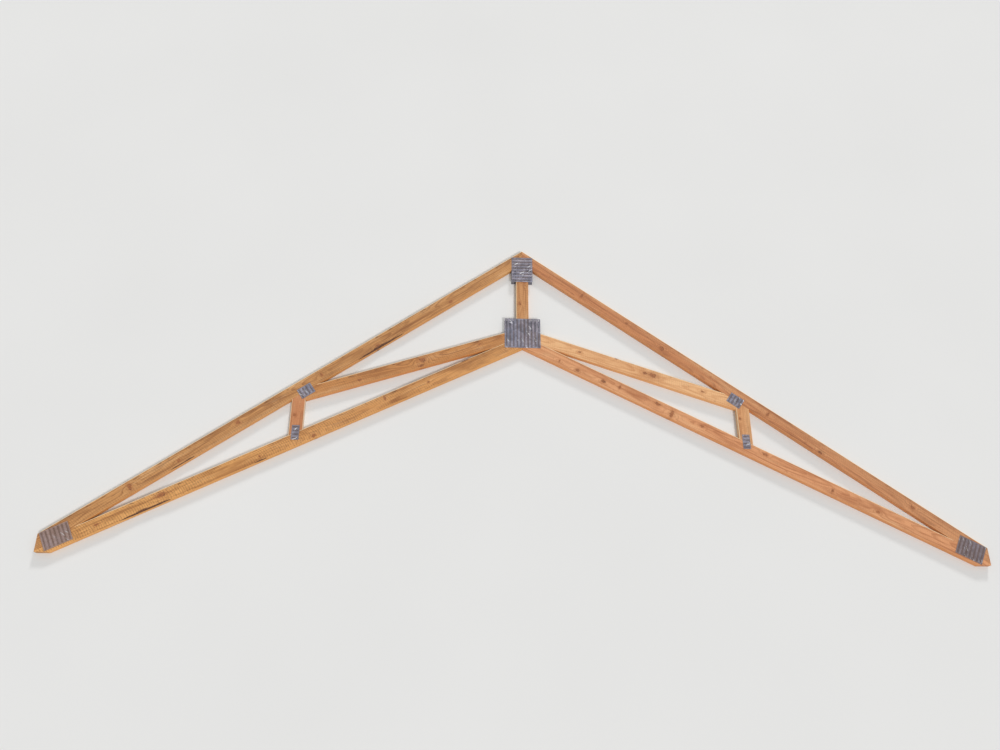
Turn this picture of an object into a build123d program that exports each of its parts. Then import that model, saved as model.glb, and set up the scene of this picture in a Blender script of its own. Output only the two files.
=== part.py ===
"""A scissor roof truss of 2x4 lumber, joined by punched steel connector plates.

The truss lies flat: X runs along the span, Y up the slope towards the ridge, and Z through the
thickness. The origin is under the middle of the truss, on the surface that it lies on. All
lengths are in millimetres.
"""

from build123d import *
from math import atan, cos, degrees, hypot, sqrt
import os

# Lumber, a dressed 2x4
LUMBER_DEPTH = 88.9
LUMBER_THICK = 38.1
EASED_EDGE = 3.0

# Layout of the truss
SPAN = 6096.0
BEARING = 88.9
TOP_PITCH = 8.5 / 12
BOTTOM_PITCH = 6.0 / 12
HEEL_BUTT = 6.35
WEB_X = 1524.0
DIAGONAL_PITCH = 4.0 / 12
DIAGONAL_SEAT = 200.0
JOINT_GAP = 0.4

# Connector plates, each as its length along the slots by its width across them
PLATE_THICK = 1.0
PEAK_PLATE = (254.0, 228.6)
RIDGE_PLATE = (203.2, 152.4)
WEB_HEAD_PLATE = (101.6, 76.2)
WEB_FOOT_PLATE = (101.6, 50.8)
HEEL_PLATE = (177.8, 127.0)
PEAK_PLATE_RISE = 3.0
RIDGE_PLATE_DROP = 3.0
HEEL_PLATE_INSET = 15.0
HEEL_PLATE_END = 63.0

# Punched slots of a connector plate
SLOT_LENGTH = 12.7
SLOT_WIDTH = 3.2
SLOT_PITCH_ALONG = 25.4
SLOT_PITCH_ACROSS = 19.05
SLOT_MARGIN = 5.0

# Plumb depths of the sloping members, and heights from the middle of the truss
HALF_SPAN = SPAN / 2
TOP_PLUMB = LUMBER_DEPTH * sqrt(1 + TOP_PITCH**2)
BOTTOM_PLUMB = LUMBER_DEPTH * sqrt(1 + BOTTOM_PITCH**2)
DIAGONAL_PLUMB = LUMBER_DEPTH * sqrt(1 + DIAGONAL_PITCH**2)
HEIGHT = HEEL_BUTT + TOP_PLUMB + TOP_PITCH * HALF_SPAN
SEAT_Y = -HEIGHT / 2
RIDGE_Y = HEIGHT / 2
PEAK_Y = SEAT_Y + BOTTOM_PITCH * (HALF_SPAN - BEARING)
POST_FOOT_Y = PEAK_Y + BOTTOM_PLUMB - BOTTOM_PITCH * LUMBER_DEPTH / 2
WOOD_MIDDLE_Z = PLATE_THICK + LUMBER_THICK / 2

# Clearances of the sloping joints, measured plumb, and the stock left for the saw at each end
RAFTER_GAP = JOINT_GAP * TOP_PLUMB / LUMBER_DEPTH
CHORD_GAP = JOINT_GAP * BOTTOM_PLUMB / LUMBER_DEPTH
SAW_ALLOWANCE = 2 * LUMBER_DEPTH


def roof_y(x):
    """Top edge of the top chord at the distance x from the middle."""
    return RIDGE_Y - TOP_PITCH * x


def rafter_under_y(x):
    """Lower edge of the top chord."""
    return roof_y(x) - TOP_PLUMB


def ceiling_y(x):
    """Lower edge of the bottom chord."""
    return PEAK_Y - BOTTOM_PITCH * x


def bottom_top_y(x):
    """Top edge of the bottom chord."""
    return ceiling_y(x) + BOTTOM_PLUMB


def diagonal_under_y(x):
    """Lower edge of the diagonal, which meets the bottom chord at DIAGONAL_SEAT."""
    return bottom_top_y(DIAGONAL_SEAT) - DIAGONAL_PITCH * (x - DIAGONAL_SEAT)


def plumb_cut(x, side, outward):
    """Upright saw cut at x. The wood on its outward side, 1 away from the middle, is waste."""
    return Plane(origin=(side * x, 0, 0), z_dir=(side * outward, 0, 0))


def sloped_cut(y_at_middle, pitch, side, upward):
    """Saw cut along a line that falls by pitch away from the middle; upward is its waste side."""
    return Plane(origin=(0, y_at_middle, 0), z_dir=(side * upward * pitch, upward, 0))


def level_cut(y, upward):
    """Level saw cut at the height y."""
    return Plane(origin=(0, y, 0), z_dir=(0, upward, 0))


def sawn_board(label, start, end, cuts):
    """Board with its middle line from start to end, each end sawn by the cuts."""
    run_x, run_y = end[0] - start[0], end[1] - start[1]
    stock = Plane(
        origin=(start[0], start[1], WOOD_MIDDLE_Z), x_dir=(0, 0, 1), z_dir=(run_x, run_y, 0)
    )
    with BuildPart() as board:
        with BuildSketch(stock.offset(-SAW_ALLOWANCE)):
            RectangleRounded(LUMBER_THICK, LUMBER_DEPTH, EASED_EDGE)
        extrude(amount=hypot(run_x, run_y) + 2 * SAW_ALLOWANCE)
        for cut in cuts:
            split(bisect_by=cut, keep=Keep.BOTTOM)
    board.part.label = label
    export_step(board.part, f"parts/{label}.step")


def top_chord(name, side):
    """Rafter from the ridge down to the outer end of the heel."""
    middle_drop = TOP_PLUMB / 2
    sawn_board(
        f"top_chord_{name}",
        (0, roof_y(0) - middle_drop),
        (side * HALF_SPAN, roof_y(HALF_SPAN) - middle_drop),
        [plumb_cut(JOINT_GAP / 2, side, -1), plumb_cut(HALF_SPAN, side, 1)],
    )


def bottom_chord(name, side):
    """Ceiling chord, sawn level at the wall, along the rafter at the heel and under the post."""
    middle_rise = BOTTOM_PLUMB / 2
    sawn_board(
        f"bottom_chord_{name}",
        (0, ceiling_y(0) + middle_rise),
        (side * HALF_SPAN, ceiling_y(HALF_SPAN) + middle_rise),
        [
            plumb_cut(JOINT_GAP / 2, side, -1),
            level_cut(POST_FOOT_Y, 1),
            sloped_cut(rafter_under_y(0) - RAFTER_GAP, TOP_PITCH, side, 1),
            level_cut(SEAT_Y, -1),
            plumb_cut(HALF_SPAN, side, 1),
        ],
    )


def vertical_web(name, side):
    """Short post between the chords."""
    sawn_board(
        f"vertical_web_{name}",
        (side * WEB_X, bottom_top_y(WEB_X)),
        (side * WEB_X, rafter_under_y(WEB_X)),
        [
            sloped_cut(bottom_top_y(0) + CHORD_GAP, BOTTOM_PITCH, side, -1),
            sloped_cut(rafter_under_y(0) - RAFTER_GAP, TOP_PITCH, side, 1),
        ],
    )


def diagonal_web(name, side):
    """Long web from the head of the vertical web to the foot of the king post."""
    middle_rise = DIAGONAL_PLUMB / 2
    outer_x = WEB_X - LUMBER_DEPTH / 2 - JOINT_GAP
    sawn_board(
        f"diagonal_web_{name}",
        (0, diagonal_under_y(0) + middle_rise),
        (side * outer_x, diagonal_under_y(outer_x) + middle_rise),
        [
            plumb_cut(LUMBER_DEPTH / 2 + JOINT_GAP, side, -1),
            sloped_cut(bottom_top_y(0) + CHORD_GAP, BOTTOM_PITCH, side, -1),
            sloped_cut(rafter_under_y(0) - RAFTER_GAP, TOP_PITCH, side, 1),
            plumb_cut(outer_x, side, 1),
        ],
    )


def king_post():
    """Middle post: a square foot on the bottom chords and a pointed head under the rafters."""
    sawn_board(
        "king_post",
        (0, POST_FOOT_Y),
        (0, rafter_under_y(0)),
        [
            level_cut(POST_FOOT_Y + JOINT_GAP, -1),
            sloped_cut(rafter_under_y(0) - RAFTER_GAP, TOP_PITCH, 1, 1),
            sloped_cut(rafter_under_y(0) - RAFTER_GAP, TOP_PITCH, -1, 1),
        ],
    )


def slot_count(room, pitch, slot):
    """How many slots fit into a plate's length or width."""
    return int((room - slot - 2 * SLOT_MARGIN) / pitch) + 1


def connector_plates(label, size, centre, angle):
    """A pair of punched plates, one on each face of the truss, turned by angle about centre."""
    along = slot_count(size[0], SLOT_PITCH_ALONG, SLOT_LENGTH)
    across = slot_count(size[1], SLOT_PITCH_ACROSS, SLOT_WIDTH)
    for face, z in (("back", 0), ("front", PLATE_THICK + LUMBER_THICK)):
        lying = Plane(origin=(centre[0], centre[1], z)).rotated((0, 0, angle))
        with BuildPart() as plate:
            with BuildSketch(lying):
                Rectangle(*size)
                with GridLocations(SLOT_PITCH_ALONG, SLOT_PITCH_ACROSS, along, across):
                    Rectangle(SLOT_LENGTH, SLOT_WIDTH, mode=Mode.SUBTRACT)
            extrude(amount=PLATE_THICK)
        plate.part.label = f"{label}_{face}"
        export_step(plate.part, f"parts/{label}_{face}.step")


def heel_plate_centre(side):
    """Middle of a heel plate, which lies along the bottom chord just above its lower edge."""
    tilt = atan(BOTTOM_PITCH)
    half_length, half_width = HEEL_PLATE[0] / 2, HEEL_PLATE[1] / 2
    corner_x = HALF_SPAN - HEEL_PLATE_END
    corner_y = ceiling_y(corner_x) + HEEL_PLATE_INSET / cos(tilt)
    x = corner_x - half_length * cos(tilt) + half_width * BOTTOM_PITCH * cos(tilt)
    y = corner_y + half_length * BOTTOM_PITCH * cos(tilt) + half_width * cos(tilt)
    return side * x, y


os.makedirs("parts", exist_ok=True)

king_post()
for name, side in (("left", -1), ("right", 1)):
    top_chord(name, side)
    bottom_chord(name, side)
    vertical_web(name, side)
    diagonal_web(name, side)
    head_x = WEB_X - LUMBER_DEPTH / 2
    connector_plates(
        f"web_head_plate_{name}",
        WEB_HEAD_PLATE,
        (side * head_x, rafter_under_y(head_x)),
        -side * degrees(atan(TOP_PITCH)),
    )
    connector_plates(
        f"web_foot_plate_{name}", WEB_FOOT_PLATE, (side * WEB_X, bottom_top_y(WEB_X)), 90
    )
    connector_plates(
        f"heel_plate_{name}",
        HEEL_PLATE,
        heel_plate_centre(side),
        -side * degrees(atan(BOTTOM_PITCH)),
    )
connector_plates("peak_plate", PEAK_PLATE, (0, PEAK_Y + PEAK_PLATE_RISE + PEAK_PLATE[1] / 2), 0)
ridge_plate_top = roof_y(RIDGE_PLATE[1] / 2) - RIDGE_PLATE_DROP
connector_plates("ridge_plate", RIDGE_PLATE, (0, ridge_plate_top - RIDGE_PLATE[0] / 2), 90)
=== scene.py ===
"""Looks of a scissor roof truss: sawn fir boards and punched galvanized connector plates.

Lengths are in metres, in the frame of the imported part: X along the span, Y towards the ridge, Z up
through the thickness. The truss lies on the floor at Z = 0.
"""

import math
import random

import bmesh
import bpy
from mathutils import Matrix, Vector, noise


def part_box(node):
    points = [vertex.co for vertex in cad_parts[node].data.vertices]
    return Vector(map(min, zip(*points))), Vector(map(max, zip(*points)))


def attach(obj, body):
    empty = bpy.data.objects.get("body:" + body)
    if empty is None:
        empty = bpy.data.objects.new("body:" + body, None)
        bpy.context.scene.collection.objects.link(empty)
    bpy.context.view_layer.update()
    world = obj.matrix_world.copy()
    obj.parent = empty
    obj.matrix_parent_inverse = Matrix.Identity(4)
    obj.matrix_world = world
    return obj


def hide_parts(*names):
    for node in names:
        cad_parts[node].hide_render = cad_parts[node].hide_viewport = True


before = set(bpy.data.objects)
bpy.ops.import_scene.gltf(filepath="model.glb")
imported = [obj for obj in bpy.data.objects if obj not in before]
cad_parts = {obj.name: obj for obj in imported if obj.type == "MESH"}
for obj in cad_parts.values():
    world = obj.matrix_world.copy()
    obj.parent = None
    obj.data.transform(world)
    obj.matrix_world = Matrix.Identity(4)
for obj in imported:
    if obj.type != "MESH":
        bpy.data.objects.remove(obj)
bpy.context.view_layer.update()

MM = 0.001

# Lumber, and the turn of each kind of member from level
LUMBER_DEPTH = 88.9 * MM
LUMBER_THICK = 38.1 * MM
EASED_EDGE = 3.0 * MM
TOP_SLOPE = math.atan(8.5 / 12)
BOTTOM_SLOPE = math.atan(6.0 / 12)
DIAGONAL_SLOPE = math.atan(4.0 / 12)
UPRIGHT = math.pi / 2

# Connector plates, each as its length along the slots by its width across them
PEAK_PLATE = (254.0 * MM, 228.6 * MM)
RIDGE_PLATE = (203.2 * MM, 152.4 * MM)
WEB_HEAD_PLATE = (101.6 * MM, 76.2 * MM)
WEB_FOOT_PLATE = (101.6 * MM, 50.8 * MM)
HEEL_PLATE = (177.8 * MM, 127.0 * MM)

# Sheet of the plates, a little thinner than its solid so that it can be dished and dented
SHEET_THICK = 0.9 * MM
SLOT_LENGTH = 12.7 * MM
SLOT_WIDTH = 3.2 * MM
SLOT_PITCH_ALONG = 25.4 * MM
SLOT_PITCH_ACROSS = 6.35 * MM
SLOT_MARGIN = 5.0 * MM


def tone(red, green, blue):
    """Colour from screen values of 0 to 255, as the shaders take it."""
    screen = (channel / 255 for channel in (red, green, blue))
    linear = (c / 12.92 if c <= 0.04045 else ((c + 0.055) / 1.055) ** 2.4 for c in screen)
    return (*linear, 1.0)


# Tones of the wood that all boards share
SAPWOOD = tone(238, 198, 148)
PALE_END = tone(248, 188, 112)
PALE_BAND = tone(242, 200, 148)
PALE_BLOTCH = tone(238, 194, 144)
# Painted highlight of the upper eased edge
PAINTED_EDGE_HIGHLIGHT = tone(252, 226, 184)
END_GRAIN = tone(150, 98, 58)
RESIN_SPECK = tone(104, 62, 34)
SAW_MARK = tone(108, 70, 40)
PITCH_STREAK = tone(86, 46, 24)
# Dark dashes near the upper edge
UPPER_EDGE_DASH = tone(84, 48, 28)
DRYING_CHECK = tone(70, 40, 24)
# Painted shade in the slots of the plates
PAINTED_SLOT_SHADE = tone(58, 50, 47)

# Tones of knots and bark
RESIN_STAIN = tone(158, 92, 48)
KNOT_PALE_RING = tone(170, 104, 58)
KNOT_DARK_RING = tone(132, 76, 42)
KNOT_PITH = tone(78, 40, 22)
KNOT_SPLIT = tone(44, 24, 14)
KNOT_BARK = tone(58, 31, 17)
BARK_HOLLOW = tone(60, 36, 24)
BARK_RIDGE = tone(126, 80, 52)

# Tones of the zinc
SPANGLE_DARK = tone(144, 135, 145)
SPANGLE_PALE = tone(180, 175, 184)
# Painted shade along the rows of slots
SLOT_ROW_PAINTED_SHADE = tone(88, 92, 104)
# Painted cool reflection
PAINTED_COOL_REFLECTION = tone(136, 148, 176)
DULL_CLOUD = tone(88, 90, 101)
WHITE_BLOOM = tone(206, 206, 206)
ROLLED_SCRATCH = tone(214, 220, 228)
# Painted shade and painted glint of the dents
PAINTED_DENT_SHADE = tone(104, 108, 120)
PAINTED_DENT_GLINT = tone(252, 252, 253)


# Wiring of shader nodes
VECTOR = "NodeSocketVector"
COLOUR = "NodeSocketColor"
NUMBER = "NodeSocketFloat"

# Sockets of a Mix node for colours: its share and its two colours, and its result
MIX_INPUTS = (0, 6, 7)
MIX_OUTPUT = 2


class Wiring:
    """Adds nodes to a node tree, each fed with sockets or plain values."""

    def __init__(self, tree):
        self.tree = tree

    def feed(self, socket, value):
        if isinstance(value, bpy.types.NodeSocket):
            self.tree.links.new(value, socket)
        else:
            socket.default_value = value

    def node(self, kind, settings=None, **inputs):
        """New node of a kind, its inputs given by name with _ for a space."""
        made = self.tree.nodes.new(kind)
        for name, value in (settings or {}).items():
            setattr(made, name, value)
        for name, value in inputs.items():
            self.feed(made.inputs[name.replace("_", " ")], value)
        return made

    def math(self, operation, *values):
        made = self.node("ShaderNodeMath", {"operation": operation})
        for socket, value in zip(made.inputs, values):
            self.feed(socket, value)
        return made.outputs[0]

    def plus(self, first, *others):
        for other in others:
            first = self.math("ADD", first, other)
        return first

    def minus(self, first, second):
        return self.math("SUBTRACT", first, second)

    def times(self, first, *others):
        for other in others:
            first = self.math("MULTIPLY", first, other)
        return first

    def vector(self, operation, *values):
        made = self.node("ShaderNodeVectorMath", {"operation": operation})
        for socket, value in zip(made.inputs, values):
            self.feed(socket, value)
        return made.outputs["Value" if operation in ("LENGTH", "DOT_PRODUCT") else "Vector"]

    def scaled(self, vector, along, across, through):
        return self.vector("MULTIPLY", vector, (along, across, through))

    def parts(self, vector):
        return self.node("ShaderNodeSeparateXYZ", Vector=vector).outputs

    def joined(self, x=0.0, y=0.0, z=0.0):
        return self.node("ShaderNodeCombineXYZ", X=x, Y=y, Z=z).outputs[0]

    def unturned(self, place, centre, turn):
        """Place as seen from centre, along axes turned by turn about Z or by a rotation socket."""
        rotation = turn if isinstance(turn, bpy.types.NodeSocket) else (0, 0, turn)
        settings = {"vector_type": "TEXTURE"}
        made = self.node(
            "ShaderNodeMapping", settings, Vector=place, Location=centre, Rotation=rotation
        )
        return made.outputs[0]

    def noise(self, vector, scale=1.0, detail=2.0, roughness=0.5, seed=0.0):
        made = self.node(
            "ShaderNodeTexNoise",
            {"noise_dimensions": "4D"},
            Vector=vector, W=seed, Scale=scale, Detail=detail, Roughness=roughness,
        )
        return made.outputs["Fac"]

    def cells(self, vector, scale):
        """Flat cells, with a colour, a distance to the cell's point and the point's position."""
        settings = {"voronoi_dimensions": "2D"}
        return self.node("ShaderNodeTexVoronoi", settings, Vector=vector, Scale=scale).outputs

    def ramp(self, value, low, high, start=0.0, end=1.0):
        """Smooth step from start, where value is at low, to end, where it is at high."""
        made = self.node(
            "ShaderNodeMapRange",
            {"interpolation_type": "SMOOTHSTEP"},
            Value=value, From_Min=low, From_Max=high, To_Min=start, To_Max=end,
        )
        return made.outputs[0]

    def mix(self, share, first, second):
        """Colour with this share of the second in the first."""
        made = self.node("ShaderNodeMix", {"data_type": "RGBA"})
        for index, value in zip(MIX_INPUTS, (share, first, second)):
            self.feed(made.inputs[index], value)
        return made.outputs[MIX_OUTPUT]


def shader_group(name, inputs, outputs):
    """Empty node group with its sockets by name and kind; returns its wiring and its inputs."""
    tree = bpy.data.node_groups.new(name, "ShaderNodeTree")
    for sockets, direction in ((inputs, "INPUT"), (outputs, "OUTPUT")):
        for label, kind in sockets.items():
            tree.interface.new_socket(label, in_out=direction, socket_type=kind)
    return Wiring(tree), tree.nodes.new("NodeGroupInput").outputs


def close_group(wiring, **outputs):
    end = wiring.tree.nodes.new("NodeGroupOutput")
    for name, value in outputs.items():
        wiring.feed(end.inputs[name], value)
    return wiring.tree


def use_group(wiring, tree, **inputs):
    made = wiring.node("ShaderNodeGroup", {"node_tree": tree})
    for name, value in inputs.items():
        wiring.feed(made.inputs[name], value)
    return made.outputs


# Effects on the wood that each board places several times


def branch_knot_group():
    """One knot: how near it is in radii, and how far it pushes the growth rings aside.

    Lean tips the branch over, Squeeze draws its outline out, and Healed hides the heart of the
    knot, up to that many radii. Near and Flow take in the knots before this one.
    """
    w, given = shader_group(
        "branch_knot",
        {
            "Place": VECTOR, "Centre": VECTOR, "Lean": VECTOR, "Squeeze": VECTOR,
            "Radius": NUMBER, "Healed": NUMBER, "Near": NUMBER, "Flow": NUMBER,
        },
        {"Near": NUMBER, "Flow": NUMBER},
    )
    offset = w.vector("SUBTRACT", given["Place"], given["Centre"])
    depth = w.parts(offset)["Z"]
    lean = w.vector("MULTIPLY", given["Lean"], w.joined(depth, depth))
    flat = w.scaled(w.vector("SUBTRACT", offset, lean), 1.0, 1.0, 0.0)

    ragged = w.ramp(w.noise(given["Place"], 62.0, 3.0, 0.6), 0.25, 0.75, 0.66, 1.42)
    outline = w.vector("LENGTH", w.vector("MULTIPLY", flat, given["Squeeze"]))
    near = w.times(w.math("DIVIDE", outline, given["Radius"]), ragged)
    near = w.math("MAXIMUM", near, given["Healed"])

    swell = w.vector("LENGTH", w.scaled(flat, 0.26, 0.7, 0.0))
    swell = w.math("POWER", w.math("DIVIDE", swell, given["Radius"]), 2.0)
    swell = w.math("EXPONENT", w.times(swell, -1.0))
    swell = w.times(swell, w.times(given["Radius"], 1.2))
    return close_group(
        w,
        Near=w.math("MINIMUM", near, given["Near"]),
        Flow=w.plus(swell, given["Flow"]),
    )


def painted_plate_shade_group():
    """Painted shade on the wood under a connector plate, seen through its slots: whole under the
    plate, and fading just outside it.

    Half is half the plate's length and width. The shade input takes in the plates before this one.
    """
    w, given = shader_group(
        "painted_plate_shade",
        {"Place": VECTOR, "Centre": VECTOR, "Turn": VECTOR, "Half": VECTOR, "Pressed": NUMBER},
        {"Pressed": NUMBER},
    )
    own = w.unturned(given["Place"], given["Centre"], given["Turn"])
    beyond = w.parts(w.vector("SUBTRACT", w.vector("ABSOLUTE", own), given["Half"]))
    outside = w.math("MAXIMUM", beyond["X"], beyond["Y"])
    painted_shade = w.ramp(outside, -0.5 * MM, 0.5 * MM, 1.0, 0.3)
    painted_shade = w.times(painted_shade, w.ramp(outside, 0.0, 6.0 * MM, 1.0, 0.0))
    return close_group(w, Pressed=w.math("MAXIMUM", painted_shade, given["Pressed"]))


# Sawn fir


def grain(w, given, length, width, detail=2.0, roughness=0.5, step=0.0):
    """Noise drawn out along the board; length and width are of one patch, in metres."""
    drawn = w.scaled(given["Place"], 1 / length, 1 / width, 1 / width)
    return w.noise(drawn, 1.0, detail, roughness, w.plus(given["Seed"], step))


def growth_rings(w, given):
    """Distance from the pith, which wanders along the log, and the dark late wood of each year."""
    place, seed = given["Place"], given["Seed"]
    along = w.joined(w.parts(place)["X"])
    drift = [w.noise(along, 0.9, 1.0, 0.5, w.plus(seed, step)) for step in (0.0, 7.3)]
    drift = [w.ramp(value, 0.2, 0.8, -20.0 * MM, 20.0 * MM) for value in drift]
    from_pith = w.vector("SUBTRACT", place, given["Pith"])
    from_pith = w.vector("ADD", from_pith, w.joined(0.0, drift[0], drift[1]))
    radius = w.vector("LENGTH", w.scaled(from_pith, 0.0, 1.0, 1.0))
    waver = w.ramp(grain(w, given, 0.22, 0.034), 0.2, 0.8, -1.3 * MM, 1.3 * MM)
    radius = w.plus(radius, waver, given["Flow"])

    uneven = w.noise(w.joined(radius), 55.0, 2.0, 0.5, seed)
    years = w.plus(w.math("DIVIDE", radius, given["Ring"]), w.times(uneven, 2.2))
    season = w.math("FRACT", years)
    late = w.times(w.ramp(season, 0.42, 0.90), w.ramp(season, 0.94, 1.0, 1.0, 0.0))
    late = w.times(late, w.ramp(grain(w, given, 0.4, 0.04, step=3.1), 0.3, 0.7, 0.45, 1.0))
    strong_years = w.noise(w.joined(radius), 120.0, 1.0, 0.5, w.plus(seed, 2.0))
    late = w.times(late, w.ramp(strong_years, 0.35, 0.62, 0.45, 1.0))
    return radius, late


def clear_wood(w, given, radius, late, fibre):
    """Colour of the wood by its rings, sapwood, bands, blotches, fibres and specks of resin."""
    place, dark = given["Place"], given["Dark"]
    band = grain(w, given, 0.70, 0.022, 5.0, 0.70, 41.0)
    blotch = grain(w, given, 0.34, 0.070, 4.0, 0.62, 11.0)
    fleck = w.ramp(grain(w, given, 0.034, 0.0075, 3.0, 0.65, 67.0), 0.56, 0.72)
    speck = w.noise(w.scaled(place, 55.0, 120.0, 120.0), 1.0, 2.0, 0.6, given["Seed"])
    speck = w.ramp(speck, 0.66, 0.74)
    sap = w.times(w.ramp(radius, 85.0 * MM, 110.0 * MM), given["Sapwood"])
    paler = w.ramp(w.parts(place)["X"], 0.2, -0.6, 0.0, given["PaleEnd"])

    colour = w.mix(w.times(late, 0.95), given["Pale"], dark)
    colour = w.mix(sap, colour, SAPWOOD)
    colour = w.mix(paler, colour, PALE_END)
    colour = w.mix(w.ramp(band, 0.50, 0.68, 0.0, 0.8), colour, dark)
    colour = w.mix(w.ramp(band, 0.46, 0.30, 0.0, 0.5), colour, PALE_BAND)
    colour = w.mix(w.ramp(blotch, 0.46, 0.70, 0.0, 0.65), colour, dark)
    colour = w.mix(w.ramp(blotch, 0.44, 0.28, 0.0, 0.35), colour, PALE_BLOTCH)
    colour = w.mix(w.ramp(fibre, 0.3, 0.75, 0.0, 0.32), colour, dark)
    colour = w.mix(w.times(fleck, 0.60), colour, dark)
    return w.mix(w.times(speck, 0.6), colour, RESIN_SPECK)


def saw_marks(w, given):
    """The round saw's arcs, as a distance along the board, and the marks that it left on them."""
    place, seed = given["Place"], given["Seed"]
    along = w.parts(place)["X"]
    across = w.parts(place)["Y"]
    arc = w.plus(along, w.times(w.math("POWER", across, 2.0), 3.2), w.times(across, 0.3))

    broad = w.noise(w.joined(w.times(arc, 74.0), w.times(across, 14.0)), 1.0, 3.0, 0.6, seed)
    uneven_feed = w.times(w.noise(place, 7.0, 2.0, 0.5, seed), 12.0)
    tick = w.math("SINE", w.plus(w.times(arc, 410.0), uneven_feed))
    torn = w.noise(w.scaled(place, 40.0, 110.0, 110.0), 1.0, 3.0, 0.65, w.plus(seed, 37.0))
    tick = w.times(w.ramp(tick, 0.1, 0.95), w.ramp(torn, 0.37, 0.58))
    marks = w.math("MAXIMUM", w.ramp(broad, 0.52, 0.68, 0.0, 0.6), tick)
    patchy = w.ramp(grain(w, given, 0.3, 0.08, step=29.0), 0.32, 0.52)
    return arc, w.times(marks, patchy, given["SawMarks"])


def upper_edge_dashes(w, given):
    """Short dark dashes in the upper part of a board's faces."""
    to_edge = LUMBER_DEPTH / 2
    dash = w.ramp(grain(w, given, 0.055, 0.0085, 3.0, 0.65, 83.0), 0.55, 0.61)
    by_edge = w.ramp(w.parts(given["Place"])["Y"], to_edge - 24.0 * MM, to_edge - 10.0 * MM)
    return w.times(dash, by_edge, given["Streaks"])


def edges_and_ends(w, given, colour):
    """Painted highlight on the upper edge, brightest on its corners, then painted light on the lower
    narrow face, and the end grain.
    """
    parts = w.parts(given["Place"])
    to_edge, to_face = LUMBER_DEPTH / 2, LUMBER_THICK / 2
    upper = w.ramp(parts["Y"], to_edge - 5.2 * MM, to_edge - 2.2 * MM)
    from_middle = w.math("ABSOLUTE", parts["Z"])
    corner = w.ramp(from_middle, to_face - 6.0 * MM, to_face - 2.5 * MM, 0.42, 0.88)
    lower = w.ramp(parts["Y"], 1.2 * MM - to_edge, 3.0 * MM - to_edge, 1.0, 0.0)
    # Painted highlight over the upper narrow face, strongest on its corners
    colour = w.mix(w.times(upper, corner), colour, PAINTED_EDGE_HIGHLIGHT)
    # Edge-grain tone of the lower narrow face, brightened with painted bounce light
    colour = w.mix(w.times(lower, 0.5), colour, given["LowerEdge"])
    return w.mix(w.times(given["End"], 0.5), colour, END_GRAIN)


def knot_wood(w, given, colour):
    """Knots: resin-stained wood, the heart with its rings and splits, and a broken bark ring."""
    place, seed, near = given["Place"], given["Seed"], given["Near"]
    colour = w.mix(w.ramp(near, 1.0, 2.7, 0.42, 0.0), colour, RESIN_STAIN)

    wander = w.times(w.noise(place, 60.0, 3.0, 0.6, seed), 2.4)
    turns = w.math("FRACT", w.plus(w.times(near, 3.4), wander))
    heart = w.mix(w.ramp(turns, 0.3, 0.95), KNOT_PALE_RING, KNOT_DARK_RING)
    heart = w.mix(w.ramp(near, 0.0, 0.40, 0.8, 0.0), heart, KNOT_PITH)
    split = w.noise(w.scaled(place, 60.0, 150.0, 150.0), 1.0, 3.0, 0.7, seed)
    split = w.times(w.ramp(split, 0.56, 0.66), w.ramp(near, 0.2, 0.8, 1.0, 0.0))
    heart = w.mix(w.times(split, 0.8), heart, KNOT_SPLIT)
    colour = w.mix(w.ramp(near, 0.85, 1.08, 0.8, 0.0), colour, heart)

    bark_ring = w.times(w.ramp(near, 0.78, 0.96), w.ramp(near, 1.0, 1.16, 1.0, 0.0))
    broken = w.ramp(w.noise(place, 60.0, 2.0, 0.5, seed), 0.4, 0.6, 0.15, 0.9)
    bark_ring = w.times(bark_ring, broken)
    return w.mix(bark_ring, colour, KNOT_BARK), bark_ring


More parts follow.
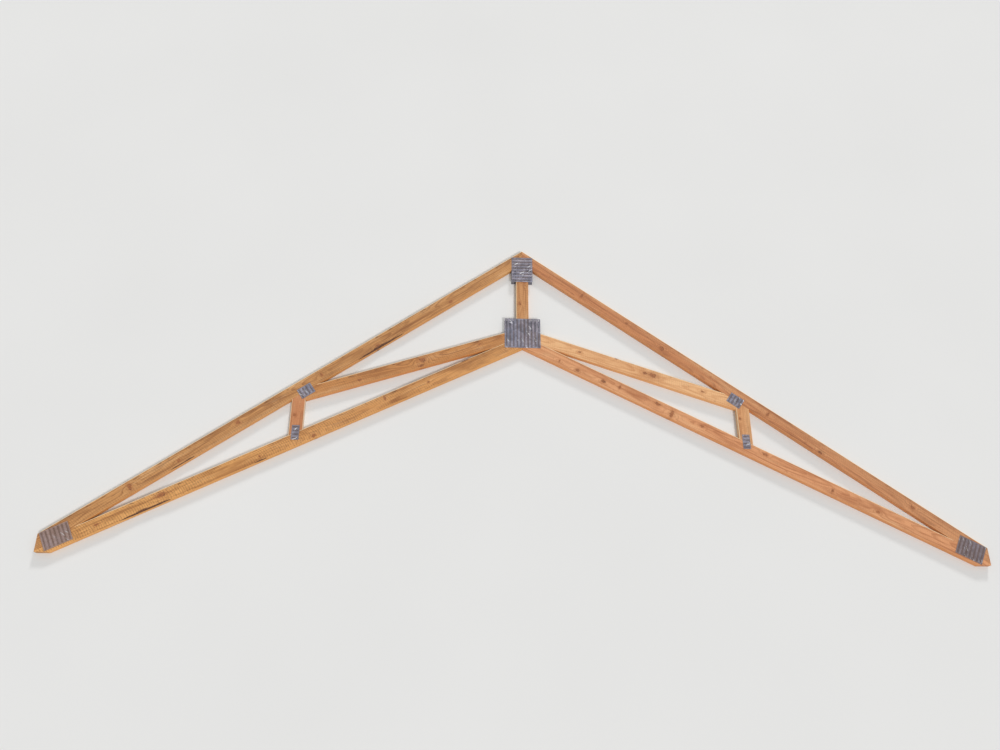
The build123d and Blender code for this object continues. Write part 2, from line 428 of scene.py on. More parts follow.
def sawn_fir_group():
    """Sawn fir: rings about a pith, fibres, pitch streaks, saw marks, knots, painted light on its
    edges and painted shade under its plates.
    """
    w, given = shader_group(
        "sawn_fir",
        {
            "Place": VECTOR, "Pith": VECTOR, "End": NUMBER, "Ring": NUMBER, "Seed": NUMBER,
            "Near": NUMBER, "Flow": NUMBER, "Pressed": NUMBER, "Bark": NUMBER,
            "Streaks": NUMBER, "SawMarks": NUMBER, "Sapwood": NUMBER, "PaleEnd": NUMBER,
            "Pale": COLOUR, "Dark": COLOUR, "LowerEdge": COLOUR,
        },
        {"Colour": COLOUR, "Roughness": NUMBER, "Height": NUMBER},
    )
    radius, late = growth_rings(w, given)
    arc, marks = saw_marks(w, given)
    fibre = grain(w, given, 0.09, 0.0016, 3.0, 0.6)
    streak = w.ramp(grain(w, given, 0.45, 0.015, 4.0, 0.66, 19.0), 0.60, 0.70)
    streak = w.times(streak, given["Streaks"])
    check = w.times(w.ramp(grain(w, given, 0.16, 0.0026, 1.0, 0.5, 53.0), 0.77, 0.81), 0.8)

    colour = clear_wood(w, given, radius, late, fibre)
    colour = w.mix(w.times(marks, 0.6), colour, SAW_MARK)
    colour = w.mix(w.times(streak, 0.7), colour, PITCH_STREAK)
    colour = w.mix(w.times(upper_edge_dashes(w, given), 0.8), colour, UPPER_EDGE_DASH)
    colour = w.mix(check, colour, DRYING_CHECK)
    colour = edges_and_ends(w, given, colour)
    colour, bark_ring = knot_wood(w, given, colour)

    # Bark left on a waney edge, and painted shade under the plates
    crust = w.noise(given["Place"], 130.0, 4.0, 0.65, given["Seed"])
    bark = w.mix(w.ramp(crust, 0.35, 0.7), BARK_HOLLOW, BARK_RIDGE)
    colour = w.mix(given["Bark"], colour, bark)
    colour = w.mix(w.times(given["Pressed"], 0.84), colour, PAINTED_SLOT_SHADE)

    # Pitch and knots are smoother than the wood, and bark is rougher
    rough = w.plus(w.ramp(fibre, 0.2, 0.8, 0.60, 0.8), w.times(given["Bark"], 0.1))
    rough = w.minus(rough, w.times(streak, 0.2))
    rough = w.minus(rough, w.ramp(given["Near"], 0.9, 1.1, 0.15, 0.0))

    # Late wood and fibres stand up with the planer's ripple, and the marks lie below them
    ripple = w.math("SINE", w.times(arc, 1500.0))
    height = w.plus(w.times(late, 0.25), w.times(fibre, 0.35), w.times(ripple, 0.03))
    for hollow, depth in ((marks, 0.5), (streak, 0.3), (check, 1.2), (bark_ring, 0.9)):
        height = w.minus(height, w.times(hollow, depth))
    height = w.plus(height, w.times(crust, given["Bark"], 3.0))
    return close_group(w, Colour=colour, Roughness=rough, Height=height)


# Galvanized steel


def slotted_bands(w, given, painted_cool_reflection):
    """Painted shade in bands along the dished rows of slots, ragged, and fainter under the painted
    cool reflection.
    """
    place, seed = given["Place"], given["Seed"]
    turn = w.minus(w.parts(place)["X"], given["Phase"])
    turn = w.math("COSINE", w.times(turn, 2 * math.pi / SLOT_PITCH_ALONG))
    waver = w.noise(w.scaled(place, 34.0, 14.0, 14.0), 1.0, 3.0, 0.6, seed)
    waver = w.ramp(waver, 0.2, 0.8, -1.1, 1.1)
    slotted = w.ramp(w.plus(turn, waver), -0.9, 0.3)
    return w.times(slotted, w.minus(1.0, w.times(painted_cool_reflection, 0.75)))


def press_dents(w, given, flat):
    """Slanted dents left by the press, longer than wide, and the painted glint on one side of each.
    """
    place, seed = given["Place"], given["Seed"]
    leaning = w.vector("ADD", flat, w.joined(w.times(w.parts(place)["Y"], 0.75)))
    bend = w.noise(place, 45.0, 1.0, 0.5, w.plus(seed, 23.0))
    bend = w.ramp(bend, 0.25, 0.75, -7.0 * MM, 7.0 * MM)
    leaning = w.vector("ADD", w.scaled(leaning, 1.7, 0.8, 1.0), w.joined(bend, bend))
    struck = w.cells(leaning, 25.0)
    chosen = w.ramp(w.parts(struck["Color"])["Y"], 0.80, 0.82)
    dent = w.times(w.ramp(struck["Distance"], 0.14, 0.36, 1.0, 0.0), chosen, given["Dents"])
    side = w.parts(w.vector("SUBTRACT", leaning, struck["Position"]))["X"]
    # Painted glint on one side of each dent
    painted_glint = w.times(dent, w.ramp(side, -2.6 * MM, 2.6 * MM))
    painted_glint = w.times(painted_glint, w.ramp(w.parts(struck["Color"])["Z"], 0.0, 0.6, 0.4, 1.0))
    return dent, painted_glint


def zinc_coat_group():
    """Galvanized coating: spangle, white bloom, rolled scratches, bands of painted shade, and dents
    with painted shade and a painted glint.

    Phase is the place of the first row of slots, Dents their strength, and Reflection the share of
    the colour Reflected, a painted reflection, in the plate's colour.
    """
    w, given = shader_group(
        "zinc_coat",
        {
            "Place": VECTOR, "Seed": NUMBER, "Phase": NUMBER, "Dents": NUMBER,
            "Reflection": NUMBER, "Reflected": COLOUR,
        },
        {"Colour": COLOUR, "Roughness": NUMBER, "Height": NUMBER},
    )
    place, seed = given["Place"], given["Seed"]
    flat = w.vector("ADD", place, w.joined(seed, seed))
    spangle = w.parts(w.cells(flat, 95.0)["Color"])["X"]
    cloud = w.noise(place, 17.0, 3.0, 0.6, seed)
    bloom = w.noise(place, 60.0, 4.0, 0.65, w.plus(seed, 5.0))
    scratch = w.noise(w.scaled(place, 25.0, 900.0, 900.0), 1.0, 2.0, 0.6, seed)
    # Broad patches of painted cool reflection
    painted_cool_reflection = w.ramp(w.noise(place, 7.0, 2.0, 0.5, w.plus(seed, 9.0)), 0.42, 0.62)
    slotted = slotted_bands(w, given, painted_cool_reflection)
    dent, painted_glint = press_dents(w, given, flat)

    colour = w.mix(w.ramp(spangle, 0.0, 1.0, 0.0, 0.45), SPANGLE_DARK, SPANGLE_PALE)
    # Painted shade along the rows of slots
    colour = w.mix(w.times(slotted, 0.38), colour, SLOT_ROW_PAINTED_SHADE)
    colour = w.mix(w.times(painted_cool_reflection, 0.35), colour, PAINTED_COOL_REFLECTION)
    colour = w.mix(w.ramp(cloud, 0.40, 0.68, 0.0, 0.6), colour, DULL_CLOUD)
    colour = w.mix(w.ramp(bloom, 0.6, 0.75, 0.0, 0.35), colour, WHITE_BLOOM)
    colour = w.mix(w.ramp(scratch, 0.6, 0.8, 0.0, 0.35), colour, ROLLED_SCRATCH)
    colour = w.mix(given["Reflection"], colour, given["Reflected"])
    # Painted shade in the dents, then a painted glint on one side of each
    colour = w.mix(w.times(dent, 0.35), colour, PAINTED_DENT_SHADE)
    colour = w.mix(w.times(painted_glint, 0.95), colour, PAINTED_DENT_GLINT)
    rough = w.plus(w.ramp(spangle, 0.0, 1.0, 0.30, 0.44), w.ramp(bloom, 0.55, 0.75, 0.0, 0.22))
    rough = w.minus(rough, w.times(dent, 0.1))
    height = w.plus(w.times(spangle, 0.12), w.times(scratch, 0.15))
    height = w.minus(height, w.times(dent, 3.0))
    return close_group(w, Colour=colour, Roughness=rough, Height=height)


BRANCH_KNOT = branch_knot_group()
PAINTED_PLATE_SHADE = painted_plate_shade_group()
SAWN_FIR = sawn_fir_group()
ZINC_COAT = zinc_coat_group()

# How deep the relief of each finish is, how metallic the zinc, and how far apart the seeds lie
FIR_RELIEF = 0.6 * MM
ZINC_RELIEF = 0.3 * MM
ZINC_METALLIC = 0.72
FIR_SEED_STEP = 13
ZINC_SEED_STEP = 9


def new_material(name):
    """Material with its wiring, its Principled shader and the object coordinates."""
    material = bpy.data.materials.new(name)
    material.use_nodes = True
    wiring = Wiring(material.node_tree)
    shader = material.node_tree.nodes["Principled BSDF"]
    place = wiring.node("ShaderNodeTexCoord").outputs["Object"]
    return material, wiring, shader, place


def finish_shader(wiring, shader, finish, relief):
    bump = wiring.node("ShaderNodeBump", Height=finish["Height"], Distance=relief, Strength=1.0)
    wiring.feed(shader.inputs["Base Color"], finish["Colour"])
    wiring.feed(shader.inputs["Roughness"], finish["Roughness"])
    wiring.feed(shader.inputs["Normal"], bump.outputs[0])


def add_piece(bm, name, material, node):
    """Object from bm that rides with the truss and stands for its CAD node."""
    mesh = bpy.data.meshes.new(name)
    bm.to_mesh(mesh)
    bm.free()
    mesh.materials.append(material)
    piece = bpy.data.objects.new(name, mesh)
    bpy.context.scene.collection.objects.link(piece)
    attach(piece, "root")
    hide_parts(node)


# Connector plates


def place_plates():
    """Length, width and turn of each pair of plates, by name."""
    plates = {"peak_plate": (*PEAK_PLATE, 0.0), "ridge_plate": (*RIDGE_PLATE, UPRIGHT)}
    for name, side in (("left", -1), ("right", 1)):
        plates[f"web_head_plate_{name}"] = (*WEB_HEAD_PLATE, -side * TOP_SLOPE)
        plates[f"web_foot_plate_{name}"] = (*WEB_FOOT_PLATE, UPRIGHT)
        plates[f"heel_plate_{name}"] = (*HEEL_PLATE, -side * BOTTOM_SLOPE)
    return plates


PLATES = place_plates()

# The heel plates are duller than the others, with a painted reflection of the wood beside them, lit
# on the left and in painted shade on the right
HEEL_PAINTED_REFLECTIONS = {"heel_plate_left": tone(180, 134, 94), "heel_plate_right": tone(112, 84, 66)}
HEEL_REFLECTION = 0.42
HEEL_DENTS = 0.4

# Steps of a tooth, each with its move into the slot, its drop and the width that it keeps
TOOTH_STEPS = (
    (0.9 * MM, 0.4 * MM, 1.0),
    (0.6 * MM, 1.1 * MM, 0.95),
    (0.05 * MM, 2.8 * MM, 0.75),
    (0.0, 3.2 * MM, 0.2),
)

# How far the press dishes the slotted bands and waves the sheet, and its deeper dents
BAND_DISH = 0.22 * MM
SHEET_WAVE = 0.10 * MM
WAVES_PER_METRE = 22
DENT_DEPTH = 0.5 * MM
DENT_REACH = (6.0 * MM, 11.0 * MM)
DENTS_PER_SQUARE_METRE = 260
FEWEST_DENTS = 2
DEEPEST_DIP = 0.85 * MM

# Edges that bend by more than this stay sharp
PLATE_CREASE = math.radians(38)
BOARD_CREASE = math.radians(40)


def middle(node):
    low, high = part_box(node)
    return (low + high) / 2


def slot_places(length, slot, pitch):
    """Middles of a row of slots that fits into length."""
    count = int((length - slot - 2 * SLOT_MARGIN) / pitch) + 1
    return [(i - (count - 1) / 2) * pitch for i in range(count)]


def lattice(length, places, slot, beyond=()):
    """Lines that divide a plate: its ends, the sides of the slots, and more for its dish.

    The last are as many slot lengths beyond each slot's middle as beyond says.
    """
    lines = {-length / 2, length / 2}
    for place in places:
        lines |= {place - slot / 2, place + slot / 2}
        lines |= {place + share * slot for share in beyond}
    return sorted(line for line in lines if abs(line) <= length / 2)


def in_slot(x, y, columns, rows):
    """Whether a point of a plate lies in one of its slots."""
    in_column = any(abs(x - column) < SLOT_LENGTH / 2 for column in columns)
    return in_column and any(abs(y - row) < SLOT_WIDTH / 2 for row in rows)


def slotted_sheet(length, width, columns, rows):
    """Flat sheet at Z = 0 with its slots open."""
    xs = lattice(length, columns, SLOT_LENGTH, beyond=(0.0, 1.0))
    ys = lattice(width, rows, SLOT_WIDTH)
    bm = bmesh.new()
    bmesh.ops.create_grid(bm, x_segments=len(xs) - 1, y_segments=len(ys) - 1, size=0.5)
    for vert in bm.verts:
        vert.co.x = xs[round((vert.co.x + 0.5) * (len(xs) - 1))]
        vert.co.y = ys[round((vert.co.y + 0.5) * (len(ys) - 1))]
    holes = [face for face in bm.faces if in_slot(*face.calc_center_median().xy, columns, rows)]
    bmesh.ops.delete(bm, geom=holes, context="FACES")
    return bm


def slot_ends(bm, way, columns, rows):
    """Edges across the slots at the end from which the teeth bend that way, 1 being towards +X."""
    ends = []
    for edge in bm.edges:
        first, second = (vert.co for vert in edge.verts)
        if not edge.is_boundary or abs(first.x - second.x) > 0.001 * MM:
            continue
        mid = (first + second) / 2
        ahead = in_slot(mid.x + way * MM, mid.y, columns, rows)
        if ahead and not in_slot(mid.x - way * MM, mid.y, columns, rows):
            ends.append(edge)
    return ends


def bend_teeth(bm, columns, rows):
    """Roots of the teeth, bent down from both ends of every slot."""
    for way in (-1, 1):
        ends = slot_ends(bm, way, columns, rows)
        for step_in, step_down, keep in TOOTH_STEPS:
            grown = bmesh.ops.extrude_edge_only(bm, edges=ends)["geom"]
            ends = [part for part in grown if isinstance(part, bmesh.types.BMEdge)]
            ends = [e for e in ends if all(len(vert.link_faces) < 2 for vert in e.verts)]
            for edge in ends:
                centre = (edge.verts[0].co.y + edge.verts[1].co.y) / 2
                for vert in edge.verts:
                    vert.co.x += way * step_in
                    vert.co.z -= step_down
                    vert.co.y = centre + (vert.co.y - centre) * keep


def random_dents(length, width, rng):
    """Middles and reaches of the deeper dents."""
    dents = []
    for _ in range(max(FEWEST_DENTS, round(length * width * DENTS_PER_SQUARE_METRE))):
        x = rng.uniform(-0.45, 0.45) * length
        y = rng.uniform(-0.45, 0.45) * width
        dents.append((Vector((x, y, 0)), rng.uniform(*DENT_REACH)))
    return dents


def dish_sheet(bm, first_slot, dents, rng):
    """Lowers the sheet in its slotted bands, in slow waves and in its dents."""
    drift = Vector((rng.uniform(0, 50), rng.uniform(0, 50), 0))
    for vert in bm.verts:
        flat = Vector((vert.co.x, vert.co.y, 0))
        phase = math.cos(2 * math.pi * (vert.co.x - first_slot) / SLOT_PITCH_ALONG)
        dip = BAND_DISH * (1 + phase)
        dip += SHEET_WAVE * (1 + noise.noise((flat + drift) * WAVES_PER_METRE))
        for spot, reach in dents:
            share = (flat - spot).length / reach
            if share < 1:
                dip += DENT_DEPTH * (1 - share * share) ** 2
        vert.co.z -= min(dip, DEEPEST_DIP)


def punched_plate(length, width, rng):
    """Plate with its slots and teeth, its outer face at Z = 0 and up."""
    columns = slot_places(length, SLOT_LENGTH, SLOT_PITCH_ALONG)
    rows = slot_places(width, SLOT_WIDTH, SLOT_PITCH_ACROSS)
    bm = slotted_sheet(length, width, columns, rows)
    bend_teeth(bm, columns, rows)
    dish_sheet(bm, columns[0], random_dents(length, width, rng), rng)
    bmesh.ops.solidify(bm, geom=bm.faces[:], thickness=SHEET_THICK)
    for face in bm.faces:
        face.smooth = True
    for edge in bm.edges:
        edge.smooth = edge.calc_face_angle(0.0) < PLATE_CREASE
    return bm


def zinc_material(plate, length, turn, seed):
    """Zinc of one pair of plates, its bands on the rows of slots."""
    material, w, shader, place = new_material(f"galvanized_{plate}")
    # The heel plates take a painted reflection and fainter dents
    has_painted_reflection = plate in HEEL_PAINTED_REFLECTIONS
    finish = use_group(
        w, ZINC_COAT,
        Place=w.unturned(place, middle(f"{plate}_front"), turn),
        Seed=float(seed),
        Phase=slot_places(length, SLOT_LENGTH, SLOT_PITCH_ALONG)[0],
        Dents=HEEL_DENTS if has_painted_reflection else 1.0,
        Reflection=HEEL_REFLECTION if has_painted_reflection else 0.0,
        Reflected=HEEL_PAINTED_REFLECTIONS.get(plate, tone(0, 0, 0)),
    )
    shader.inputs["Metallic"].default_value = ZINC_METALLIC
    finish_shader(w, shader, finish, ZINC_RELIEF)
    return material


def add_connector_plates():
    """A punched plate on each face of every joint, the back one turned over about its length."""
    for index, (plate, (length, width, turn)) in enumerate(PLATES.items()):
        material = zinc_material(plate, length, turn, index * ZINC_SEED_STEP)
        for face, flip in (("front", 0.0), ("back", math.pi)):
            node = f"{plate}_{face}"
            bm = punched_plate(length, width, random.Random(node))
            low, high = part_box(node)
            spot = middle(node)
            spot.z = high.z if face == "front" else low.z
            seat = Matrix.Translation(spot) @ Matrix.Rotation(turn, 4, "Z")
            bm.transform(seat @ Matrix.Rotation(flip, 4, "X"))
            add_piece(bm, f"punched_{node}", material, node)


# Boards, in mm: a knot is (x, y, radius), a wane (side, from x, to x, depth), its side 1 if upper
# Each board's tone for its lower narrow face is painted light: bounce light, and sunlight on the
# left upright web.
BOARDS = {
    "top_chord_left": {
        "turn": TOP_SLOPE,
        "pale": (206, 150, 92), "dark": (140, 88, 46), "lower_face_painted_light": (230, 164, 95),
        "pith": (12, -58), "ring": 5.2, "streaks": 0.9, "saw": 0.6, "sap": 0.3, "pale_end": 0.0,
        "knots": [
            (-1377, 100, 9), (-1020, 322, 10), (-520, 700, 8),
            (-1905, -262, 11), (-2541, -722, 13), (-2254, -533, 8),
        ],
        "wane": [(-1, -1175, -860, 13), (-1, -2330, -2170, 7)],
        "under": ("ridge_plate", "web_head_plate_left", "heel_plate_left"),
    },
    "top_chord_right": {
        "turn": -TOP_SLOPE,
        "pale": (206, 138, 90), "dark": (146, 88, 52), "lower_face_painted_light": (230, 160, 100),
        "pith": (-30, -74), "ring": 4.6, "streaks": 0.5, "saw": 0.3, "sap": 0.15, "pale_end": 0.0,
        "knots": [
            (1000, 366, 12), (430, 770, 9), (760, 560, 7),
            (1690, -112, 10), (2030, -390, 9), (2595, -765, 11),
        ],
        "wane": [],
        "under": ("ridge_plate", "web_head_plate_right", "heel_plate_right"),
    },
    "bottom_chord_left": {
        "turn": BOTTOM_SLOPE,
        "pale": (219, 158, 94), "dark": (154, 98, 50), "lower_face_painted_light": (238, 172, 96),
        "pith": (-16, -46), "ring": 5.8, "streaks": 0.9, "saw": 1.0, "sap": 0.25, "pale_end": 0.4,
        "knots": [
            (-956, -60, 7), (-1397, -340, 9), (-644, 66, 6),
            (-2334, -762, 17), (-1745, -500, 5), (-2700, -965, 8),
        ],
        "wane": [(-1, -2590, -2270, 12), (-1, -1790, -1700, 7), (1, -420, -340, 5)],
        "under": ("peak_plate", "web_foot_plate_left", "heel_plate_left"),
    },
    "bottom_chord_right": {
        "turn": -BOTTOM_SLOPE,
        "pale": (226, 161, 113), "dark": (168, 102, 60), "lower_face_painted_light": (238, 158, 90),
        "pith": (6, -66), "ring": 5.0, "streaks": 0.3, "saw": 0.15, "sap": 0.2, "pale_end": 0.0,
        "knots": [
            (259, 247, 7), (376, 186, 10), (553, 100, 11), (670, 64, 8), (929, -62, 10),
            (1024, -126, 14), (1229, -212, 9), (1640, -410, 9), (2079, -652, 8), (2353, -790, 10),
        ],
        "wane": [],
        "under": ("peak_plate", "web_foot_plate_right", "heel_plate_right"),
    },
    "diagonal_web_left": {
        "turn": DIAGONAL_SLOPE,
        "pale": (204, 142, 82), "dark": (144, 88, 46), "lower_face_painted_light": (228, 152, 84),
        "pith": (20, -52), "ring": 5.5, "streaks": 1.0, "saw": 0.5, "sap": 0.15, "pale_end": 0.0,
        "knots": [(-697, 226, 17), (-703, 186, 9), (-1130, 70, 8), (-300, 370, 6)],
        "wane": [],
        "under": ("peak_plate", "web_head_plate_left"),
    },
    "diagonal_web_right": {
        "turn": -DIAGONAL_SLOPE,
        "pale": (238, 188, 136), "dark": (194, 130, 80), "lower_face_painted_light": (240, 172, 106),
        "pith": (-8, -60), "ring": 6.2, "streaks": 0.2, "saw": 0.25, "sap": 0.7, "pale_end": 0.0,
        "knots": [(394, 323, 7), (653, 276, 6), (865, 165, 10), (918, 162, 16), (1260, 40, 8)],
        "wane": [],
        "under": ("peak_plate", "web_head_plate_right"),
    },
    "vertical_web_left": {
        "turn": UPRIGHT,
        "pale": (206, 140, 94), "dark": (156, 94, 56), "lower_face_painted_light": (255, 244, 214),
        "pith": (-34, -40), "ring": 4.4, "streaks": 0.4, "saw": 0.2, "sap": 0.1, "pale_end": 0.0,
        "knots": [(-1540, -205, 8)],
        "wane": [],
        "under": ("web_foot_plate_left", "web_head_plate_left"),
    },
    "vertical_web_right": {
        "turn": UPRIGHT,
        "pale": (224, 166, 114), "dark": (176, 116, 70), "lower_face_painted_light": (240, 186, 128),
        "pith": (26, -52), "ring": 5.4, "streaks": 0.3, "saw": 0.3, "sap": 0.4, "pale_end": 0.0,
        "knots": [(1500, -160, 6)],
        "wane": [],
        "under": ("web_foot_plate_right", "web_head_plate_right"),
    },
    "king_post": {
        "turn": UPRIGHT,
        "pale": (206, 148, 94), "dark": (150, 96, 54), "lower_face_painted_light": (240, 180, 122),
        "pith": (10, -44), "ring": 5.0, "streaks": 0.35, "saw": 0.5, "sap": 0.2, "pale_end": 0.0,
        "knots": [(-18, 690, 8), (20, 880, 10)],
        "wane": [],
        "under": ("ridge_plate", "peak_plate"),
    },
}

# Lines that divide a board's faces, in mm from its middle, and the length of its divisions
ACROSS_LINES = (-39, -34, -27, -14, 0, 14, 27, 34, 39)
THROUGH_LINES = (-13, -6.5, 0, 6.5, 13)
STATION = 12.0 * MM

# Uneven planing, with its waves in each metre and how far apart the boards lie in its noise
PLANING_WEAR = 0.15 * MM
PLANING_WAVES = 9
BOARD_SHIFT = 3.7

# The round of the log at a waney edge, its waves, and the depth at which its bark is whole
WANE_BLUNTNESS = 0.6
WANE_WAVES = 14
WANE_TATTERS = 95
WANE_SLANT = 0.8
WANE_ACROSS = 0.45
WANE_THROUGH = 0.64
BARK_DEPTH = 1.2 * MM

# How near two sawn faces are to be one cut, and what is too small or too steep to be an end
SAME_NORMAL = 0.9999
SAME_PLANE = 0.1 * MM
LEAST_END_AREA = 10 * MM * MM
LEAST_END_FACING = 0.05

# Knots from this radius in mm up are never healed over, and wood this many radii away is clear
OPEN_KNOT = 12
FAR_FROM_KNOTS = 9.0


def board_place(node, turn):
    """Middle of a board, the origin of its own coordinates, and its length."""
    axes = (
        Vector((math.cos(turn), math.sin(turn), 0)),
        Vector((-math.sin(turn), math.cos(turn), 0)),
        Vector((0, 0, 1)),
    )
    corners = [vert.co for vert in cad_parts[node].data.vertices]
    centre = Vector()
    reaches = []
    for axis in axes:
        places = [corner.dot(axis) for corner in corners]
        centre += axis * (min(places) + max(places)) / 2
        reaches.append(max(places) - min(places))
    return centre, reaches[0]


def saw_cuts(node, along):
    """Planes of the board's sawn ends, read from the CAD node."""
    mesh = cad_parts[node].data
    cuts = []
    for face in mesh.polygons:
        if abs(face.normal.dot(along)) < LEAST_END_FACING or face.area < LEAST_END_AREA:
            continue
        point = mesh.vertices[face.vertices[0]].co
        if all(
            face.normal.dot(normal) < SAME_NORMAL or abs((point - spot).dot(normal)) > SAME_PLANE
            for spot, normal in cuts
        ):
            cuts.append((point.copy(), face.normal.copy()))
    return cuts


def stock_board(length):
    """Planed stock with eased edges along X, divided finely enough for its wane and wear."""
    bm = bmesh.new()
    bmesh.ops.create_cube(bm, size=1.0)
    bmesh.ops.scale(bm, vec=(length, LUMBER_DEPTH, LUMBER_THICK), verts=bm.verts)

    def long_edges():
        return [e for e in bm.edges if abs(e.verts[0].co.x - e.verts[1].co.x) > length / 2]

    bmesh.ops.bevel(
        bm,
        geom=long_edges(),
        offset=EASED_EDGE,
        segments=3,
        profile=0.5,
        affect="EDGES",
        material=-1,
    )
    for lines, axis in ((ACROSS_LINES, Vector((0, 1, 0))), (THROUGH_LINES, Vector((0, 0, 1)))):
        for line in lines:
            whole = bm.verts[:] + bm.edges[:] + bm.faces[:]
            bmesh.ops.bisect_plane(bm, geom=whole, plane_co=axis * line * MM, plane_no=axis)
    stations = round(length / STATION)
    bmesh.ops.subdivide_edges(bm, edges=long_edges(), cuts=stations, use_grid_fill=True)
    return bm


def wear_board(bm, wane, index):
    """Uneven planing, and front edges where the round of the log shows, with its bark.

    Each wane is its side, its start and end along the board, and its depth.
    """
    bark = bm.verts.layers.float.new("bark")
    shift = Vector((index * BOARD_SHIFT, 0, 0))
    for vert in bm.verts:
        rough = (noise.noise(vert.co * PLANING_WAVES + shift) - 1) * PLANING_WEAR
        vert.co += Vector((0, vert.co.y / LUMBER_DEPTH, vert.co.z / LUMBER_THICK)) * rough
        for side, start, end, depth in wane:
            share = (vert.co.x - start) / (end - start)
            if not 0 < share < 1:
                continue
            from_edge = LUMBER_DEPTH / 2 - side * vert.co.y
            from_face = LUMBER_THICK / 2 - vert.co.z
            swell = math.sin(math.pi * share) ** WANE_BLUNTNESS
            ragged = 0.75 + 0.35 * noise.noise(Vector((vert.co.x * WANE_WAVES, index, 0)))
            ragged += 0.12 * noise.noise(vert.co * WANE_TATTERS + shift)
            lost = depth * swell * ragged - from_edge * WANE_SLANT - from_face
            if lost > 0:
                vert.co.y -= side * lost * WANE_ACROSS
                vert.co.z -= lost * WANE_THROUGH
                vert[bark] = min(1.0, lost / BARK_DEPTH)


def sawn_board(node, board, index):
    """Worn stock in its place in the truss, sawn along its CAD node's ends."""
    centre, length = board_place(node, board["turn"])
    seat = Matrix.Translation(centre) @ Matrix.Rotation(board["turn"], 4, "Z")
    along = seat.to_3x3() @ Vector((1, 0, 0))
    wane = [
        (side, *((x * MM - centre.x) / math.cos(board["turn"]) for x in (start, end)), depth * MM)
        for side, start, end, depth in board["wane"]
    ]
    bm = stock_board(length + 2 * LUMBER_DEPTH)
    wear_board(bm, wane, index)
    bm.transform(seat)
    for edge in bm.edges:
        edge.smooth = edge.calc_face_angle(0.0) < BOARD_CREASE
    for spot, normal in saw_cuts(node, along):
        whole = bm.verts[:] + bm.edges[:] + bm.faces[:]
        cut = bmesh.ops.bisect_plane(
            bm, geom=whole, plane_co=spot, plane_no=normal, clear_outer=True
        )
        rim = [part for part in cut["geom_cut"] if isinstance(part, bmesh.types.BMEdge)]
        for edge in rim:
            edge.smooth = False
        bmesh.ops.holes_fill(bm, edges=rim, sides=0)
    for face in bm.faces:
        face.smooth = True
    return bm, seat, centre


def knots_of(w, board, own, seat, centre, rng):
    """Nearness of a board's knots and their push on its rings, each knot shaped at random."""
    near, flow = FAR_FROM_KNOTS, 0.0
    for x, y, radius in board["knots"]:
        spot = seat.inverted() @ Vector((x * MM, y * MM, centre.z))
        lean = (rng.uniform(-0.5, 0.5), rng.uniform(-0.35, 0.35), 0)
        healed = rng.choice((0.0, 0.0, 0.3, 0.88)) if radius < OPEN_KNOT else 0.0
        drawn = rng.uniform(0.55, 0.85)
        long_knot, round_knot, tall_knot = (drawn, 1.2, 0), (0.85, 0.95, 0), (1.2, drawn, 0)
        squeeze = rng.choice((long_knot, long_knot, round_knot, tall_knot))
        knot = use_group(
            w, BRANCH_KNOT,
            Place=own, Centre=spot, Lean=lean, Squeeze=squeeze, Radius=radius * MM,
            Healed=healed, Near=near, Flow=flow,
        )
        near, flow = knot["Near"], knot["Flow"]
    return near, flow


def painted_shade_of_plates(w, board, place):
    """How much painted shade the plates on its board put on the wood."""
    painted_shade = 0.0
    for plate in board["under"]:
        length, width, turn = PLATES[plate]
        spot = middle(f"{plate}_front")
        painted_shade = use_group(
            w, PAINTED_PLATE_SHADE,
            Place=place, Centre=(spot.x, spot.y, 0), Turn=(0, 0, turn),
            Half=(length / 2, width / 2, 0), Pressed=painted_shade,
        )["Pressed"]
    return painted_shade


def fir_material(node, board, index, seat, centre):
    """Fir of one board, in coordinates along it from its middle."""
    material, w, shader, place = new_material(f"fir_{node}")
    own = w.unturned(place, centre, board["turn"])
    near, flow = knots_of(w, board, own, seat, centre, random.Random(node))
    normal = w.node("ShaderNodeNewGeometry").outputs["Normal"]
    along = seat.to_3x3() @ Vector((1, 0, 0))
    facing = w.math("ABSOLUTE", w.vector("DOT_PRODUCT", normal, along))
    pith_y, pith_z = board["pith"]
    finish = use_group(
        w, SAWN_FIR,
        Place=own,
        Pith=(0, pith_y * MM, pith_z * MM),
        End=w.ramp(facing, 0.35, 0.6),
        Ring=board["ring"] * MM,
        Seed=float(index * FIR_SEED_STEP),
        Near=near,
        Flow=flow,
        Pressed=painted_shade_of_plates(w, board, place),
        Bark=w.node("ShaderNodeAttribute", {"attribute_name": "bark"}).outputs["Fac"],
        Streaks=board["streaks"],
        SawMarks=board["saw"],
        Sapwood=board["sap"],
        PaleEnd=board["pale_end"],
        Pale=tone(*board["pale"]),
        Dark=tone(*board["dark"]),
        LowerEdge=tone(*board["lower_face_painted_light"]),
    )
    finish_shader(w, shader, finish, FIR_RELIEF)
    return material


def add_boards():
    for index, (node, board) in enumerate(BOARDS.items()):
        bm, seat, centre = sawn_board(node, board, index)
        material = fir_material(node, board, index, seat, centre)
        add_piece(bm, f"sawn_{node}", material, node)


# Floor, light and camera
FLOOR_HALF_SIZE = 150
FLOOR_TONES = ((0.76, 0.76, 0.75, 1), (0.80, 0.80, 0.79, 1))
FLOOR_ROUGHNESS = 0.9
WORLD_LIGHT = 0.45
WORLD_SEEN = 0.80

# Camera of the photograph, in the frame of the lying truss, with its angles in degrees
CAMERA_PLACE = (-0.455, -2.2146, 5.4185)
CAMERA_PITCH = 23.531
CAMERA_YAW = 2.843
CAMERA_ROLL = 0.25
SENSOR_WIDTH = 36
FOCAL_LENGTH = 30.48
CAMERA_SHIFT = 0.004


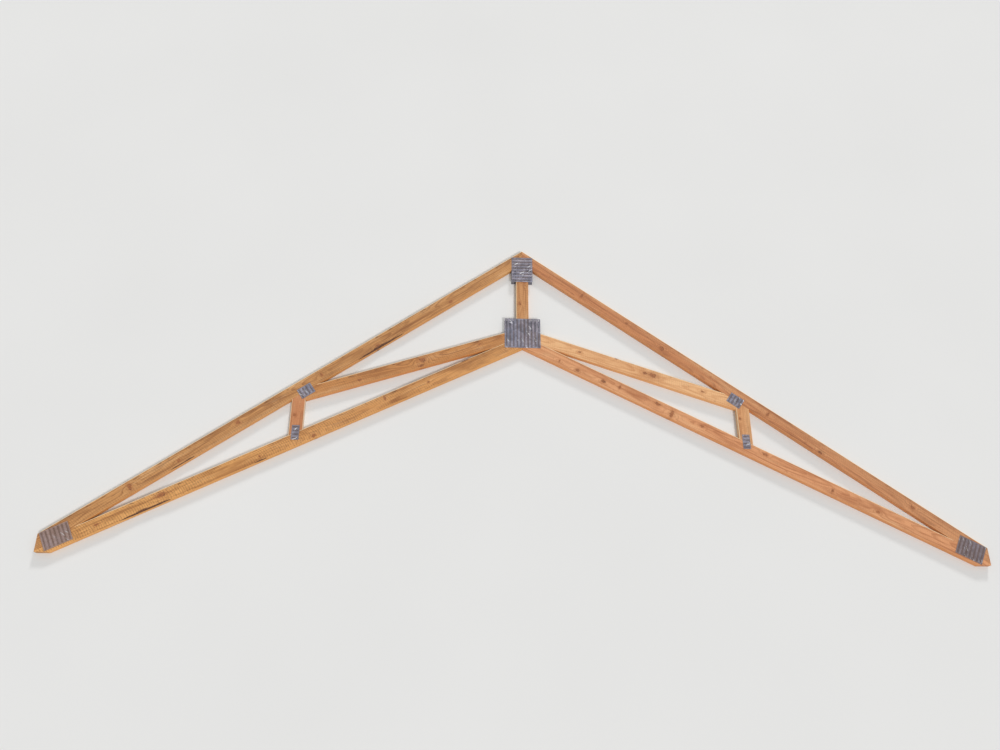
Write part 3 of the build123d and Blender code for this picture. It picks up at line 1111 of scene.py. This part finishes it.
def add_floor():
    bm = bmesh.new()
    bmesh.ops.create_grid(bm, x_segments=1, y_segments=1, size=FLOOR_HALF_SIZE)
    mesh = bpy.data.meshes.new("studio_floor")
    bm.to_mesh(mesh)
    bm.free()
    material, w, shader, place = new_material("pale_floor")
    w.feed(shader.inputs["Base Color"], w.mix(w.noise(place, 0.8, 2.0), *FLOOR_TONES))
    shader.inputs["Roughness"].default_value = FLOOR_ROUGHNESS
    mesh.materials.append(material)
    floor = bpy.data.objects.new("studio_floor", mesh)
    bpy.context.scene.collection.objects.link(floor)


def add_lamp(name, toward, strength, spread):
    """Far lamp in a direction, its light spread over an angle in degrees."""
    lamp = bpy.data.lights.new(name, "SUN")
    lamp.energy = strength
    lamp.angle = math.radians(spread)
    made = bpy.data.objects.new(name, lamp)
    made.rotation_mode = "QUATERNION"
    made.rotation_quaternion = Vector(toward).to_track_quat("Z", "Y")
    bpy.context.scene.collection.objects.link(made)


def set_world():
    """White surroundings, brighter where they are seen or mirrored than as a light."""
    world = bpy.data.worlds.new("studio")
    world.use_nodes = True
    bpy.context.scene.world = world
    w = Wiring(world.node_tree)
    rays = w.node("ShaderNodeLightPath").outputs
    seen = w.math("MAXIMUM", rays["Is Camera Ray"], rays["Is Glossy Ray"])
    seen = w.math("MAXIMUM", seen, rays["Is Transmission Ray"])
    back = world.node_tree.nodes["Background"]
    w.feed(back.inputs["Color"], (1.0, 1.0, 1.0, 1.0))
    w.feed(back.inputs["Strength"], w.ramp(seen, 0.0, 1.0, WORLD_LIGHT, WORLD_SEEN))


def add_camera():
    """Camera that looks at the lying truss as the photograph's camera looks at the upright one."""
    pitch, yaw, roll = (math.radians(angle) for angle in (CAMERA_PITCH, CAMERA_YAW, CAMERA_ROLL))
    level = math.cos(pitch)
    forward = Vector((math.sin(yaw) * level, math.sin(pitch), -math.cos(yaw) * level))
    right = Vector((math.cos(yaw), 0, math.sin(yaw)))
    up = right.cross(forward)
    right_rolled = math.cos(roll) * right + math.sin(roll) * up
    up_rolled = math.cos(roll) * up - math.sin(roll) * right
    turn = Matrix((right_rolled, up_rolled, -forward)).transposed()
    data = bpy.data.cameras.new("camera")
    data.sensor_fit = "HORIZONTAL"
    data.sensor_width = SENSOR_WIDTH
    data.lens = FOCAL_LENGTH
    data.shift_x = CAMERA_SHIFT
    camera = bpy.data.objects.new("camera", data)
    camera.matrix_world = Matrix.Translation(CAMERA_PLACE) @ turn.to_4x4()
    bpy.context.scene.collection.objects.link(camera)
    bpy.context.scene.camera = camera


add_camera()
add_boards()
add_connector_plates()
add_floor()
set_world()
add_lamp("key", toward=(0.30, -0.55, 0.80), strength=1.55, spread=14)
add_lamp("rim", toward=(0.20, 0.85, 0.36), strength=1.25, spread=8)
bpy.context.scene.view_settings.view_transform = "Standard"
